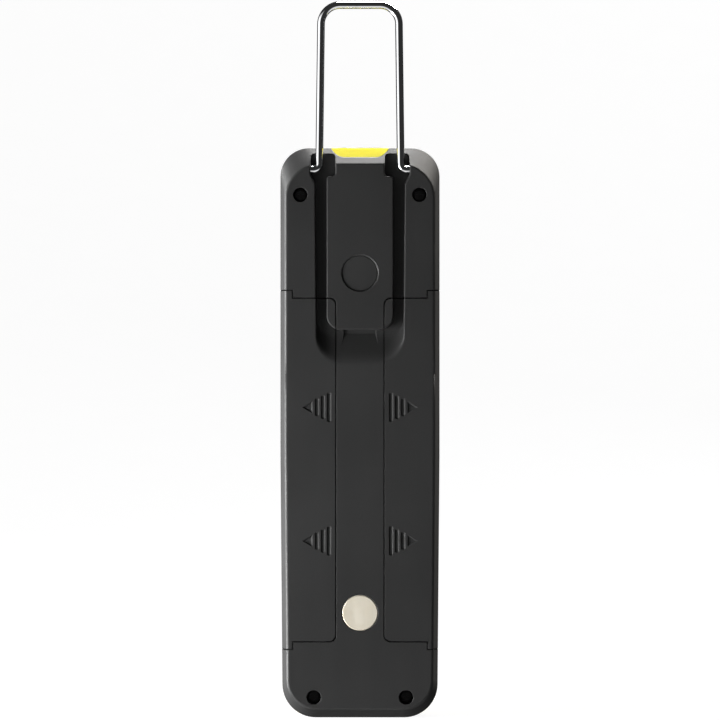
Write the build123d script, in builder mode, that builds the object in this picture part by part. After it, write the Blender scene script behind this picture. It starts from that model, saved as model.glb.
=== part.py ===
"""Hand-held inspection work light with a fold-out wire hook, two magnets and two sliding battery doors.

All in millimetres. +Z runs from the foot to the hook, -Y is the back (hook, magnets, doors) and +Y is the
side that lights up. The origin is the centre of the foot's flat end, midway between back and front.
"""

from build123d import *

import math
import os

# ---------------------------------------------------------------- driving dimensions
HEIGHT = 207.5  # foot to top of the casing
HALF_WIDTH = 29.0
FOOT_HALF_WIDTH = 28.2  # the sides pull in a little towards the foot
TAPER_START = 95.0  # height below which they pull in
BACK = -15.0  # y of the back face
FRONT = 15.0  # y of the bezel's front face
PARTING = 10.5  # y of the seam between rear shell and bezel
TOP_CORNER_R = 10.4
FOOT_CORNER_R = 12.2
WALL = 2.0
SKIN = 1.8  # thickness of the back face and of the doors
GAP = 0.4  # seam between a door and the shell
SLIP = 0.1  # clearance between fitted pieces
TOUCH = 0.02  # hairline between pieces that rest on each other
PLAY = 0.3  # loose clearance around pieces that slide or flex
OVERLAP = 0.5  # how far joined blocks run into each other
THROUGH = 1.0  # how far a cut runs past the surface it opens

# sloping border around the back face: how far it pulls in, and how deep it reaches
BEVEL_DEPTH = 5.5
BEVEL_TOP = 5.9
BEVEL_SIDE = 1.8
BEVEL_FOOT = 3.3
BACK_TOP_CORNER_R = 12.9
BACK_FOOT_CORNER_R = 10.7
CREASE_R = 1.1  # rounding where the slope meets the back face

# wire hook
WIRE_R = 1.4
PIVOT_Y = BACK + 2.2
PIVOT_Z = 199.6
HOOK_REACH = 59.9  # pivot axis to the centre of the top bar
LEG_X = 14.85  # leg centre at the pivot end
BAR_LEG_X = 14.1  # leg centre at the bar end
PIN_END_X = 21.2
PIN_BEND_R = 2.2
BAR_BEND_R = 7.0
PIN_CHAMFER = 0.3
PIVOT_HOLE_R = WIRE_R + 0.06

# recess in the back that takes the folded hook
RECESS_DEPTH = 3.8
CHANNEL_OUT = 15.8
CHANNEL_OUT_TOP = 16.4
CHANNEL_IN = 12.1
MOUTH_EASE = 0.4  # radius of the recess's rounded rim
DRAFT = 0.15  # the walls close in by this much on their way down
ISLAND_BOTTOM = 141.35  # lower end of the raised face between the two channels
ISLAND_R = 5.1
RAMP_TOP = 140.7  # full depth above this height
RAMP_BOTTOM = 128.3  # flush with the back below this height
RAMP_R = 10.5  # corner radius of the ramp where it meets the back face
RAMP_FLOOR_R = 4.5  # and where it meets the floor
RAMP_STEPS = 12  # strips that make up the ramp's S-shaped rise
POCKET_OUT = 18.1  # pocket around each pivot
POCKET_IN = 8.9
POCKET_TOP = 205.6
POCKET_BOTTOM = 197.1
POCKET_SHOULDER = 194.4
POCKET_TOP_R = 1.5
POCKET_R = 1.2
TROUGH_WALL = 1.2
NAIL_MOUTH_HALF_WIDTH = 6.9  # the fingernail scoop, at the ramp and at its floor
NAIL_FLOOR_HALF_WIDTH = 5.6
NAIL_DEPTH = 4.5

# battery doors
STRIP_HALF_WIDTH = 8.78  # the fixed strip between the doors
DOOR_BOTTOM, DOOR_TOP = 27.8, 152.8
EAR_BOTTOM, EAR_TOP = 25.0, 155.6  # where the door wraps round the side it is longer
EAR_X = 24.5
DOOR_CORNER_R = 2.5
DOOR_SILL_Y = 1.0  # front edge of the door's side wall
TONGUE_HEIGHTS = (56.0, 88.0, 120.0)
TONGUE_LENGTH = 8.0
TONGUE_REACH = 2.4
TONGUE_FRONT = BACK + 2.85
GROOVE_X = (11.27, 13.46, 15.65)  # grip grooves, longest first
GROOVE_LENGTHS = (10.8, 8.7, 6.6)
GROOVE_WIDTH = 1.55
GROOVE_END_R = 0.65
GROOVE_DEPTH = 0.5
GROOVE_TAPER = 42.0  # degrees that its walls lean out
ARROW_BASE_X, ARROW_TIP_X, ARROW_HEIGHT = 17.3, 21.0, 4.4
GRIP_HEIGHTS = (113.1, 64.5)

# battery bays and cells
BAY_IN, BAY_OUT = 10.2, 26.4
BAY_WALL = 2.0
BAY_END_WALL = 2.2
BAY_FLOOR_Y = 2.55
BAY_FLOOR = 1.6
BAY_TOP = 133.4  # underside of the rib behind the top contacts
BAY_RIB = 1.6
BAY_RIB_Y = BACK + 5.4  # back edge of that rib and of the bay walls above the recess
CELL_R = 7.25
CELL_LENGTH = 50.5
CELL_EDGE_R = 0.6
CELL_X = 18.3
CELL_Y = -4.78
CELL_JOIN = 0.05  # between two cells in line
NUB_R, NUB_LENGTH = 2.7, 1.3
SPRING_HEIGHT, SPRING_R, SPRING_WIRE_R, SPRING_TURNS = 3.2, 3.2, 0.35, 3
CONTACT_THICKNESS = 0.4
CONTACT_HALF_WIDTH = 5.5
CONTACT_BACK, CONTACT_FRONT = CELL_Y - 4.4, CELL_Y + 5.0
BRIDGE_BACK, BRIDGE_FRONT = -8.2, -1.8
TAB_HALF_WIDTH, TAB_BACK, TAB_FRONT, TAB_RISE = 1.5, -2.3, -1.9, 4.0

# magnets on the centre line
MAGNET_R = 6.5
UPPER_MAGNET_R = 6.0
MAGNET_THICKNESS = 3.0
MAGNET_CHAMFER = 0.3
LOWER_MAGNET_Z = 38.3
UPPER_MAGNET_Z = 161.9
CAP_R = 6.3
CAP_SINK = 0.45  # the cap sits this far below the back face, at the foot of a wide chamfer
CAP_THICKNESS = 1.2
MAGNET_BOSS_R = 8.2
MAGNET_FLOOR = 1.6

# case screws
TOP_SCREW_X, TOP_SCREW_Z = 21.65, 190.4
FOOT_SCREW_X, FOOT_SCREW_Z = 16.8, 7.6
SCREW_WELL_R = 2.6
SCREW_WELL_WALL = 1.5
SCREW_SEAT_Y = -4.0
SCREW_SEAT = 2.0
MOUTH_CHAMFER = 0.12  # around the screw wells and the lower magnet's pocket
SCREW_R = 1.3
SCREW_HEAD_R, SCREW_HEAD = 2.3, 1.9
SCREW_LENGTH = 12.0
SMALL_SCREW_R, SMALL_HEAD_R, SMALL_HEAD, SMALL_LENGTH = 1.0, 1.7, 1.1, 5.0
HOLE_SPARE = 0.6  # a blind screw hole is this much deeper than its screw

# front bezel and flood lamp
BEZEL_EDGE_R = 2.6
SPIGOT_HEIGHT, SPIGOT_WALL = 2.0, 1.1
POST_R, SMALL_POST_R = 3.0, 2.0
WINDOW_HALF_WIDTH = 20.0
WINDOW_BOTTOM, WINDOW_TOP = 58.0, 182.0
WINDOW_R = 6.0
LIP_Y = 13.4  # back of the bezel's front wall
GASKET = 0.4
FLANGE = 1.8  # how far the lens runs behind the lip
FLANGE_THICKNESS = 1.1
LENS_CROWN = 0.6
BOARD_Y = 5.6
BOARD_THICKNESS = 1.6
LAMP_BOARD_WIDTH, LAMP_BOARD_MARGIN, LAMP_BOARD_R = 51.4, 2.0, 3.0
BOARD_HOLE_R = 1.15
LED_PITCH_X, LED_PITCH_Z = 12.8, 15.2
LED_COLUMNS, LED_ROWS = 3, 8
LED_R, LED_FOOT, LED_HEIGHT, LED_DOME_R = 2.4, 0.8, 3.7, 1.4
CUP_R = 5.9  # mouth of each reflector cup
CUP_WALL = 0.4
REFLECTOR_PLATE = 0.8
REFLECTOR_MARGIN = 1.2
BOARD_SCREW_X = 24.3
BOARD_SCREW_HEIGHTS = (72.0, 168.0)

# switches and buttons
CONTROL_BOARD_SIZE, CONTROL_BOARD_R = (48.4, 34.0), 2.0
CONTROL_SCREW_X = 22.0
SWITCH_SIZE, SWITCH_HEIGHT, SWITCH_BORE_R, SWITCH_BORE = 6.2, 3.5, 1.8, 2.4
PLUNGER_R, PLUNGER_PROUD, PLUNGER_SUNK = 1.7, 1.0, 1.4
BUTTON_X, BUTTON_Z = 9.6, 35.0
BUTTON_SIZE = (15.0, 20.0)
BUTTON_R = 5.0
BUTTON_PROUD = 1.0
BUTTON_FLANGE = 1.1
BUTTON_FLANGE_THICKNESS = 1.2
BUTTON_EDGE_R = 0.8
BUTTON_STEM_R = 2.2
EMBLEM_HEIGHT = 0.3
RING_R, RING_HOLE_R = 3.4, 2.6
BAR_LENGTH, BAR_WIDTH = 7.0, 0.9

# torch in the top end
TORCH_Y = -4.9
TORCH_SIZE, TORCH_R = (21.8, 15.4), 5.4
TORCH_FOOT_Z = 203.2  # underside of the torch head's body
TORCH_WALL = 0.5  # between the torch head and each pivot pocket
TORCH_FLANGE_X, TORCH_FLANGE_BACK, TORCH_FLANGE_FRONT = 12.2, TORCH_Y - 3.6, TORCH_Y + 9.0
TORCH_LEG_IN, TORCH_LEG_OUT, TORCH_LEG_BACK, TORCH_LEG_FRONT = 9.2, 10.9, TORCH_Y - 3.0, TORCH_Y + 4.5
TORCH_LENS_SIZE, TORCH_LENS_R = (17.2, 8.0), 3.2
TORCH_LENS_Z = 205.9  # the lens drops in from outside, down to this ledge
TORCH_LENS_PROUD = 0.2
TORCH_CUPS_SIZE, TORCH_CUPS_R = (16.8, 7.2), 2.4
TORCH_CUP_MOUTH_R = 3.2
TORCH_LED_PITCH = 5.6
TORCH_BOARD_Z = 197.8
TORCH_BOARD_SIZE = (19.6, 8.6)

# leads
LEAD_R, LEAD_BEND = 0.6, 1.4
THIN_LEAD_R, THIN_LEAD_BEND = 0.5, 1.2
LEAD_Z, LEAD_Y, LEAD_END_X = 139.5, -1.25, 4.0
RIBBON_HALF_WIDTH, RIBBON_THICKNESS, RIBBON_BOTTOM, RIBBON_TOP = 5.0, 0.33, 50.0, 58.0

# ---------------------------------------------------------------- places worked out from them
LEFT, RIGHT = -1, 1
BEYOND = 2 * HALF_WIDTH  # clear of the casing on every side
RECESS_FLOOR_Y = BACK + RECESS_DEPTH
TROUGH_FLOOR_Y = RECESS_FLOOR_Y + TROUGH_WALL
BAY_DEEP_Y = BAY_FLOOR_Y + BAY_FLOOR
RAMP_RISE = RAMP_TOP - RAMP_BOTTOM
NAIL_MOUTH_DEPTH = RECESS_DEPTH / 2  # the scoop leaves the ramp half way up, at the ramp's steepest slope
NAIL_MOUTH_Z = RAMP_BOTTOM + RAMP_RISE / 2
RAMP_SLOPE = math.pi / 2 * RECESS_DEPTH / RAMP_RISE
NAIL_FLOOR_Z = NAIL_MOUTH_Z + (NAIL_DEPTH - NAIL_MOUTH_DEPTH) / RAMP_SLOPE
CASE_SCREWS = [
    (-TOP_SCREW_X, TOP_SCREW_Z),
    (TOP_SCREW_X, TOP_SCREW_Z),
    (-FOOT_SCREW_X, FOOT_SCREW_Z),
    (FOOT_SCREW_X, FOOT_SCREW_Z),
]
BOARD_SCREWS = [(side * BOARD_SCREW_X, z) for side in (LEFT, RIGHT) for z in BOARD_SCREW_HEIGHTS]
CONTROL_SCREWS = [(side * CONTROL_SCREW_X, BUTTON_Z) for side in (LEFT, RIGHT)]
BUTTONS = [(LEFT * BUTTON_X, BUTTON_Z), (RIGHT * BUTTON_X, BUTTON_Z)]
CAP_BACK = BACK + CAP_SINK
UPPER_MAGNET_BACK = CAP_BACK + CAP_THICKNESS + TOUCH
LAMP_MIDDLE = (0, (WINDOW_BOTTOM + WINDOW_TOP) / 2)
WINDOW = (2 * WINDOW_HALF_WIDTH, WINDOW_TOP - WINDOW_BOTTOM)
BOARD_FRONT = BOARD_Y + BOARD_THICKNESS
FLANGE_FRONT = LIP_Y - GASKET
FLANGE_BACK = FLANGE_FRONT - FLANGE_THICKNESS
REFLECTOR_FRONT = FLANGE_BACK - 2 * SLIP
REFLECTOR_BACK = BOARD_FRONT + 0.6
SWITCH_FRONT = BOARD_FRONT + SWITCH_HEIGHT
PLUNGER_TIP = SWITCH_FRONT + PLUNGER_PROUD
TORCH_BOARD_TOP = TORCH_BOARD_Z + BOARD_THICKNESS
CONTACT_LOW_Z = DOOR_BOTTOM + SLIP
CELLS_LOW_Z = CONTACT_LOW_Z + CONTACT_THICKNESS + SLIP
LED_PLACES = [
    ((i - (LED_COLUMNS - 1) / 2) * LED_PITCH_X, LAMP_MIDDLE[1] + (j - (LED_ROWS - 1) / 2) * LED_PITCH_Z)
    for i in range(LED_COLUMNS)
    for j in range(LED_ROWS)
]
TORCH_LEDS = [(i * TORCH_LED_PITCH, TORCH_Y) for i in (-1, 0, 1)]


# ---------------------------------------------------------------- helpers
def facing_back(y):
    """Plane of constant y. Its x and y run along +X and +Z; a negative extrusion goes to the front."""
    return Plane.XZ.offset(-y)


def grown(size, amount):
    """A width and height, both larger by amount on every side."""
    return [s + 2 * amount for s in size]


def block(low, high):
    """Box between two opposite corners."""
    size = [b - a for a, b in zip(low, high)]
    middle = tuple((a + b) / 2 for a, b in zip(low, high))
    with BuildPart(mode=Mode.PRIVATE) as made:
        with Locations(middle):
            Box(*size)
    return made.part


def mirrored_block(low, high):
    """The box between two corners, and its mirror image in the centre plane."""
    with BuildPart(mode=Mode.PRIVATE) as made:
        add(block(low, high))
        mirror(about=Plane.YZ)
    return made.part


def rods(places, y_start, y_end, radius):
    """Round bars along Y at (x, z) places."""
    with BuildPart(mode=Mode.PRIVATE) as made:
        with BuildSketch(facing_back(y_start)):
            with Locations(*places):
                Circle(radius)
        extrude(amount=y_start - y_end)
    return made.part


def cones(places, y_start, y_end, start_r, end_r):
    """Round bars along Y at (x, z) places that change radius from end to end."""
    with BuildPart(mode=Mode.PRIVATE) as made:
        for place in places:
            ends = []
            for y, radius in ((y_start, start_r), (y_end, end_r)):
                with BuildSketch(facing_back(y), mode=Mode.PRIVATE) as end:
                    with Locations(place):
                        Circle(radius)
                ends.append(end.sketch)
            loft(ends)
    return made.part


def round_pocket(places, y_end, radius, mouth_chamfer=MOUTH_CHAMFER):
    """Blind round pockets in the back face, with a chamfer at the mouth."""
    with BuildPart(mode=Mode.PRIVATE) as made:
        add(rods(places, BACK - THROUGH, y_end, radius))
        add(cones(places, BACK, BACK + mouth_chamfer, radius + mouth_chamfer, radius))
    return made.part


def rounded_slab(size, radius, y_start, y_end, middle):
    """Rounded rectangle in XZ, thick along Y."""
    with BuildPart(mode=Mode.PRIVATE) as made:
        with BuildSketch(facing_back(y_start)):
            with Locations(middle):
                RectangleRounded(*size, radius)
        extrude(amount=y_start - y_end)
    return made.part


def upright_slab(size, radius, z_start, z_end):
    """Rounded rectangle in XY around the torch's axis, thick along Z."""
    with BuildPart(mode=Mode.PRIVATE) as made:
        with BuildSketch(Plane.XY.offset(z_start)):
            with Locations((0, TORCH_Y)):
                RectangleRounded(*size, radius)
        extrude(amount=z_end - z_start)
    return made.part


def silhouette(y, side=0.0, top=0.0, foot=0.0, top_r=TOP_CORNER_R, foot_r=FOOT_CORNER_R):
    """The casing's outline in a plane of constant y, pulled in by the given amounts."""
    upper = HALF_WIDTH - side
    lower = FOOT_HALF_WIDTH - side
    with BuildSketch(facing_back(y), mode=Mode.PRIVATE) as outline:
        with BuildLine():
            Polyline(
                (-lower, foot),
                (lower, foot),
                (upper, TAPER_START),
                (upper, HEIGHT - top),
                (-upper, HEIGHT - top),
                (-upper, TAPER_START),
                close=True,
            )
        make_face()
        fillet(outline.vertices().group_by(Axis.Y)[-1], top_r)
        fillet(outline.vertices().group_by(Axis.Y)[0], foot_r)
    return outline.sketch


def inner_outline(y, inset):
    """The casing's outline pulled in by the same amount all round."""
    return silhouette(y, inset, inset, inset, TOP_CORNER_R - inset, FOOT_CORNER_R - inset)


def casing(y_end):
    """The casing as one solid, from the back face to y_end, with its sloping border."""
    knee = BACK + BEVEL_DEPTH
    with BuildPart(mode=Mode.PRIVATE) as made:
        back = silhouette(BACK, BEVEL_SIDE, BEVEL_TOP, BEVEL_FOOT, BACK_TOP_CORNER_R, BACK_FOOT_CORNER_R)
        loft([back, silhouette(knee)], ruled=True)
        fillet(made.faces().sort_by(Axis.Y)[0].edges(), CREASE_R)
        extrude(silhouette(knee), amount=knee - y_end)
    return made.part


def hollow(y_end):
    """The space inside the casing's walls, from under the back skin to y_end."""
    slope = 1 - SKIN / BEVEL_DEPTH
    knee = BACK + BEVEL_DEPTH + 1.0
    with BuildPart(mode=Mode.PRIVATE) as made:
        under_skin = silhouette(
            BACK + SKIN,
            BEVEL_SIDE * slope + WALL,
            BEVEL_TOP * slope + WALL,
            BEVEL_FOOT * slope + WALL,
            TOP_CORNER_R,
            TOP_CORNER_R,
        )
        straight = inner_outline(knee, WALL)
        loft([under_skin, straight], ruled=True)
        extrude(straight, amount=knee - y_end)
    return made.part


def hook_outline(y, grow=0.0, bottom=RAMP_BOTTOM, bottom_r=RAMP_R):
    """Plan of the hook's recess in a plane of constant y: two channels and a pocket around each pivot."""
    with BuildSketch(facing_back(y), mode=Mode.PRIVATE) as outline:
        with BuildLine():
            Polyline(
                (0, bottom),
                (CHANNEL_OUT + grow, bottom),
                (CHANNEL_OUT_TOP + grow, POCKET_SHOULDER - grow),
                (POCKET_OUT + grow, POCKET_BOTTOM + 0.8 - grow),
                (POCKET_OUT + grow, POCKET_TOP + grow),
                (POCKET_IN - grow, POCKET_TOP + grow),
                (POCKET_IN - grow, POCKET_BOTTOM - grow),
                (CHANNEL_IN - grow, POCKET_BOTTOM - grow),
                (CHANNEL_IN - grow, ISLAND_BOTTOM + grow),
                (0, ISLAND_BOTTOM + grow),
                close=True,
            )
        make_face()
        at_bottom = outline.vertices().filter_by_position(Axis.Y, bottom - SLIP, bottom + SLIP)
        fillet(at_bottom.sort_by(Axis.X)[-1], bottom_r)
        island_z = ISLAND_BOTTOM + grow
        at_island = outline.vertices().filter_by_position(Axis.Y, island_z - SLIP, island_z + SLIP)
        fillet(at_island.filter_by_position(Axis.X, 1, CHANNEL_IN + 1), ISLAND_R - grow)
        fillet(outline.vertices().filter_by_position(Axis.Y, POCKET_TOP - 1, HEIGHT), POCKET_TOP_R + grow)
        at_shoulder = outline.vertices().filter_by_position(Axis.Y, POCKET_SHOULDER - 3, POCKET_BOTTOM + 2)
        fillet(at_shoulder, POCKET_R)
        mirror(about=Plane.YZ)
    return outline.sketch


def recess_section(step):
    """The recess's outline part of the way down: 0 at the back face, RAMP_STEPS on the floor."""
    along = step / RAMP_STEPS
    depth = RECESS_DEPTH * (1 - math.cos(math.pi * along)) / 2
    above_rim = max(0.0, 1 - depth / MOUTH_EASE)
    rim = MOUTH_EASE * (1 - math.sqrt(1 - above_rim**2))
    grow = rim - DRAFT * depth / RECESS_DEPTH
    radius = RAMP_R + (RAMP_FLOOR_R - RAMP_R) * along
    return hook_outline(BACK + depth, grow, RAMP_BOTTOM + RAMP_RISE * along, radius)


def hook_recess():
    """The recess for the folded hook: a rounded rim, drafted walls and a ramp that eases in and out."""
    sections = [recess_section(step) for step in range(RAMP_STEPS + 1)]
    with BuildPart(mode=Mode.PRIVATE) as made:
        loft(sections, ruled=True)
        # above the back face the same outline carries on, for the pivot pockets in the sloping border
        extrude(sections[0], amount=THROUGH)
    return made.part


def hook_trough():
    """The block of material that the recess is sunk into."""
    low = RAMP_BOTTOM - TROUGH_WALL
    start = BACK - THROUGH
    with BuildPart(mode=Mode.PRIVATE) as plan:
        extrude(hook_outline(start, TROUGH_WALL, low, RAMP_R + TROUGH_WALL), amount=start - TROUGH_FLOOR_Y)
    with BuildPart(mode=Mode.PRIVATE) as made:
        with BuildSketch(Plane.YZ):
            with BuildLine():
                Polyline(
                    (start - THROUGH, low - 5),
                    (BACK + TROUGH_WALL, low),
                    (TROUGH_FLOOR_Y, RAMP_TOP - TROUGH_WALL),
                    (TROUGH_FLOOR_Y, HEIGHT),
                    (start - THROUGH, HEIGHT),
                    close=True,
                )
            make_face()
        extrude(amount=HALF_WIDTH, both=True)
        add(plan.part, mode=Mode.INTERSECT)
    return made.part


def nail_notch():
    """The deeper scoop in the middle of the ramp, for a fingernail under the hook's bar."""
    sections = []
    for depth, half_width, low in (
        (NAIL_MOUTH_DEPTH, NAIL_MOUTH_HALF_WIDTH, NAIL_MOUTH_Z),
        (NAIL_DEPTH, NAIL_FLOOR_HALF_WIDTH, NAIL_FLOOR_Z),
    ):
        with BuildSketch(facing_back(BACK + depth), mode=Mode.PRIVATE) as section:
            with Locations((0, (low + ISLAND_BOTTOM) / 2)):
                Rectangle(2 * half_width, ISLAND_BOTTOM - low)
        sections.append(section.sketch)
    with BuildPart(mode=Mode.PRIVATE) as made:
        loft(sections, ruled=True)
    return made.part


def door_plan(side, y_start, y_end, seam):
    """The door's outline in XZ as a prism; a negative seam makes it smaller all round."""
    inner = STRIP_HALF_WIDTH - seam
    with BuildPart(mode=Mode.PRIVATE) as made:
        with BuildSketch(facing_back(y_start)) as face:
            with BuildLine():
                Polyline(
                    (inner, DOOR_BOTTOM - seam),
                    (EAR_X - seam, DOOR_BOTTOM - seam),
                    (EAR_X - seam, EAR_BOTTOM - seam),
                    (HALF_WIDTH + THROUGH, EAR_BOTTOM - seam),
                    (HALF_WIDTH + THROUGH, EAR_TOP + seam),
                    (EAR_X - seam, EAR_TOP + seam),
                    (EAR_X - seam, DOOR_TOP + seam),
                    (inner, DOOR_TOP + seam),
                    close=True,
                )
            make_face()
            fillet(face.vertices().group_by(Axis.X)[0], DOOR_CORNER_R)
        extrude(amount=y_start - y_end)
        if side == LEFT:
            mirror(about=Plane.YZ, mode=Mode.REPLACE)
    return made.part


def save(piece, name):
    """Labels a finished piece and writes it as parts/NAME.step."""
    piece.part.label = name
    export_step(piece.part, f"parts/{name}.step")


os.makedirs("parts", exist_ok=True)

case_to_parting = casing(PARTING)
inside = hollow(PARTING + THROUGH)
recess = hook_recess()
trough = hook_trough()


# ---------------------------------------------------------------- rear shell
def battery_bay_walls():
    """Inner side walls, floors, end walls, and the rib behind the top contacts."""
    wall_x = BAY_IN - BAY_WALL
    outer_x = HALF_WIDTH - WALL / 4
    low_z, high_z = EAR_BOTTOM - BAY_END_WALL, EAR_TOP + BAY_END_WALL
    with BuildPart(mode=Mode.PRIVATE) as walls:
        add(mirrored_block((wall_x, BACK + 1, low_z), (BAY_IN, BAY_DEEP_Y, high_z)))
        add(mirrored_block((wall_x, BAY_FLOOR_Y, low_z), (outer_x, BAY_DEEP_Y, high_z)))
        for low, high in ((low_z, DOOR_BOTTOM), (DOOR_TOP, high_z)):
            add(mirrored_block((wall_x, BACK + 1, low), (outer_x, BAY_DEEP_Y, high)))
        add(mirrored_block((wall_x, BAY_RIB_Y, BAY_TOP), (BAY_OUT, BAY_DEEP_Y, BAY_TOP + BAY_RIB)))
    return walls.part


def pivot_blocks():
    """The blocks beside the pockets that hold the hook's pins."""
    low = (POCKET_OUT - 1, BACK + 0.5, PIVOT_Z - 4)
    high = (PIN_END_X + 1.6, PIVOT_Y + 3.4, PIVOT_Z + 4)
    return mirrored_block(low, high)


def nail_block():
    """Material behind the nail scoop."""
    half_width = STRIP_HALF_WIDTH - GAP / 2
    low = (-half_width, BACK + 1, NAIL_MOUTH_Z - TROUGH_WALL)
    high = (half_width, BACK + NAIL_DEPTH + TROUGH_WALL, ISLAND_BOTTOM + TROUGH_WALL)
    return block(low, high)


def bosses():
    """Round bosses behind the magnets and around the screw wells."""
    upper_floor = UPPER_MAGNET_BACK + MAGNET_THICKNESS + MAGNET_FLOOR
    with BuildPart(mode=Mode.PRIVATE) as made:
        add(rods([(0, LOWER_MAGNET_Z)], BACK + 1, BACK + MAGNET_THICKNESS + MAGNET_FLOOR, MAGNET_BOSS_R))
        add(rods([(0, UPPER_MAGNET_Z)], BACK + 1, upper_floor, MAGNET_BOSS_R))
        add(rods(CASE_SCREWS, BACK + 1, SCREW_SEAT_Y + SCREW_SEAT, SCREW_WELL_R + SCREW_WELL_WALL))
    return made.part


def bay_space():
    """The two battery bays, open to the back and the side."""
    over_recess_x = STRIP_HALF_WIDTH - GAP / 2
    outside = BACK - THROUGH
    with BuildPart(mode=Mode.PRIVATE) as space:
        add(mirrored_block((BAY_IN, outside, DOOR_BOTTOM), (BAY_OUT, BAY_FLOOR_Y, BAY_TOP)))
        add(mirrored_block((BAY_IN, outside, BAY_TOP + BAY_RIB), (BAY_OUT, BAY_FLOOR_Y, DOOR_TOP)))
        # room for the door's share of the recess, over the rib and the bay's inner wall
        over_recess = (over_recess_x, BACK + SKIN, RAMP_BOTTOM - 2.5)
        add(mirrored_block(over_recess, (BAY_OUT, BAY_RIB_Y, DOOR_TOP + GAP / 2)))
    return space.part


def door_openings():
    """What the doors take out of the shell: the skin, the side wall and the ears' seats."""
    outside = BACK - THROUGH
    beyond = HALF_WIDTH + THROUGH
    with BuildPart(mode=Mode.PRIVATE) as openings:
        for side in (LEFT, RIGHT):
            add(door_plan(side, outside, BACK + SKIN, GAP / 2))
        add(mirrored_block((BAY_OUT - 1.2, outside, DOOR_BOTTOM), (beyond, DOOR_SILL_Y, DOOR_TOP)))
        ear_low = (BAY_OUT + SLIP, outside, EAR_BOTTOM - GAP / 2)
        add(mirrored_block(ear_low, (beyond, DOOR_SILL_Y, EAR_TOP + GAP / 2)))
    return openings.part


def fitting_holes():
    """Magnet pockets, screw wells and holes, and the cross hole for the hook's pins."""
    cap_mouth = [(0, UPPER_MAGNET_Z)]
    cap_floor = UPPER_MAGNET_BACK + MAGNET_THICKNESS + TOUCH
    hole_end = PIN_END_X + PLAY
    with BuildPart(mode=Mode.PRIVATE) as holes:
        add(round_pocket([(0, LOWER_MAGNET_Z)], BACK + MAGNET_THICKNESS + TOUCH, MAGNET_R + SLIP))
        add(round_pocket(cap_mouth, cap_floor, CAP_R + SLIP, CAP_SINK))
        add(round_pocket(CASE_SCREWS, SCREW_SEAT_Y, SCREW_WELL_R))
        add(rods(CASE_SCREWS, SCREW_SEAT_Y - 1, PARTING, SCREW_R + 0.15))
        with BuildSketch(Plane.YZ.offset(-hole_end)):
            with Locations((PIVOT_Y, PIVOT_Z)):
                Circle(PIVOT_HOLE_R)
        extrude(amount=2 * hole_end)
    return holes.part


def slots():
    """Slots for the doors' tongues, the bottom bridge, the top contacts' tabs and the leads."""
    wall_x = BAY_IN - BAY_WALL
    with BuildPart(mode=Mode.PRIVATE) as made:
        for z in TONGUE_HEIGHTS:
            half = TONGUE_LENGTH / 2 + PLAY
            low = (wall_x - 2, BACK + SKIN, z - half)
            add(mirrored_block(low, (BAY_IN + OVERLAP, TONGUE_FRONT + 2 * SLIP, z + half)))
        bridge_low = (-BAY_IN - 1, BRIDGE_BACK - PLAY, DOOR_BOTTOM)
        bridge_high = (BAY_IN + 1, BRIDGE_FRONT + PLAY, CONTACT_LOW_Z + CONTACT_THICKNESS + 2 * SLIP)
        add(block(bridge_low, bridge_high))
        tab_low = (CELL_X - TAB_HALF_WIDTH - PLAY, TAB_BACK - 2 * SLIP, BAY_TOP - OVERLAP)
        tab_high = (CELL_X + TAB_HALF_WIDTH + PLAY, TAB_FRONT + 2 * SLIP, BAY_TOP + BAY_RIB + OVERLAP)
        add(mirrored_block(tab_low, tab_high))
        lead_low = (wall_x - OVERLAP, LEAD_Y - 2.75, LEAD_Z - 2)
        add(mirrored_block(lead_low, (BAY_IN + OVERLAP, LEAD_Y + 1.25, LEAD_Z + 2)))
    return made.part


def case_skin():
    """The shell's outer walls."""
    with BuildPart(mode=Mode.PRIVATE) as made:
        add(case_to_parting)
        add(inside, mode=Mode.SUBTRACT)
    return made.part


def torch_opening(grow):
    """The torch head's body, which gives way to the two pivot pockets beside it."""
    start = BACK - THROUGH
    with BuildPart(mode=Mode.PRIVATE) as made:
        add(upright_slab(grown(TORCH_SIZE, grow), TORCH_R + grow, TORCH_FOOT_Z, HEIGHT + 5))
        pockets = hook_outline(start, TORCH_WALL - grow)
        extrude(pockets, amount=start - TROUGH_FLOOR_Y - SLIP, mode=Mode.SUBTRACT)
    return made.part


with BuildPart() as rear_shell:
    # everything that stands up inside the shell, trimmed to the casing's outside
    add(battery_bay_walls())
    add(pivot_blocks())
    add(trough)
    add(nail_block())
    add(bosses())
    add(case_to_parting, mode=Mode.INTERSECT)
    add(case_skin())
    add(bay_space(), mode=Mode.SUBTRACT)
    add(door_openings(), mode=Mode.SUBTRACT)
    add(recess, mode=Mode.SUBTRACT)
    add(nail_notch(), mode=Mode.SUBTRACT)
    add(fitting_holes(), mode=Mode.SUBTRACT)
    add(slots(), mode=Mode.SUBTRACT)
    add(torch_opening(SLIP), mode=Mode.SUBTRACT)
save(rear_shell, "rear_shell")


# ---------------------------------------------------------------- battery doors
def door_tongues():
    """Tongues on both doors' inner edges, which run in slots in the bay walls."""
    edge = STRIP_HALF_WIDTH + GAP / 2
    with BuildPart(mode=Mode.PRIVATE) as made:
        for z in TONGUE_HEIGHTS:
            low, high = z - TONGUE_LENGTH / 2, z + TONGUE_LENGTH / 2
            add(mirrored_block((edge, BACK + SKIN - 0.2, low), (edge + TONGUE_REACH, TONGUE_FRONT, high)))
            add(mirrored_block((edge - 2, BACK + SKIN + SLIP, low), (edge + OVERLAP, TONGUE_FRONT, high)))
    return made.part


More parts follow.
